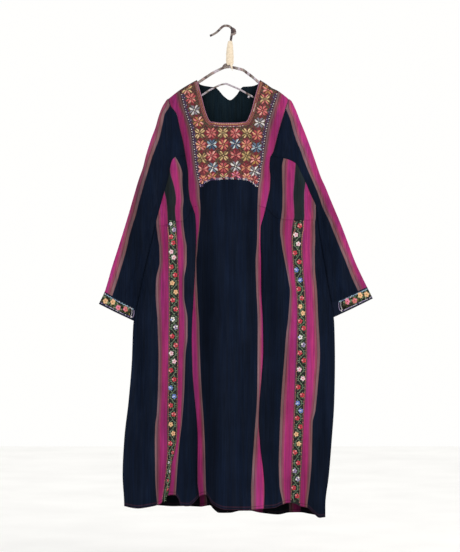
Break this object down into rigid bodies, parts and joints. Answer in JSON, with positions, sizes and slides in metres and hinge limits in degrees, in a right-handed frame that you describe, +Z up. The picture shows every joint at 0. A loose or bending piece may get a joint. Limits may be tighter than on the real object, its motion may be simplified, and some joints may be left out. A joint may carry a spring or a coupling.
{
  "type": "embroidered thobe dress on a clothes hanger",
  "caption": "Long black cotton thobe with woven magenta stripes, an embroidered chest panel, flowered ribbons and wide sleeves, hanging on a wrapped wire clothes hanger.",
  "frame": {"origin": "the inner top of the hanger's hook, where a rail or a nail carries it", "axes": "+Z up; the front of the dress faces -Y; +X is to the right of someone looking at the front"},
  "size_m": [0.8556, 0.099, 1.539],
  "materials": {
    "striped_cotton": "black-navy woven cotton with magenta, brown and thin pink woven stripes",
    "embroidery": "satin-stitch stars in red, pink, cream and blue on an olive-brown stitched ground",
    "binding": "stitched red and orange-brown binding",
    "ribbon": "black ribbon with small coloured flowers on a green vine",
    "cuff_ribbon": "flowered ribbon between blue and lavender stitched lines",
    "wire_wrap": "wire wrapped in narrow grey-brown cloth strips",
    "tape": "cream cotton tape"
  },
  "bodies": {
    "root": {"front_panel": "striped_cotton", "back_panel": "striped_cotton", "side_panel_front_left": "striped_cotton", "side_panel_front_right": "striped_cotton", "side_panel_back_left": "striped_cotton", "side_panel_back_right": "striped_cotton", "sleeve_left": "striped_cotton", "sleeve_right": "striped_cotton", "chest_panel": "embroidery", "neck_binding": "binding", "ribbon_left": "ribbon", "ribbon_right": "ribbon", "cuff_left": "cuff_ribbon", "cuff_right": "cuff_ribbon", "hanger_frame": "wire_wrap", "hanger_hook": "wire_wrap", "hanger_neck": "tape"}
  },
  "joints": []
}
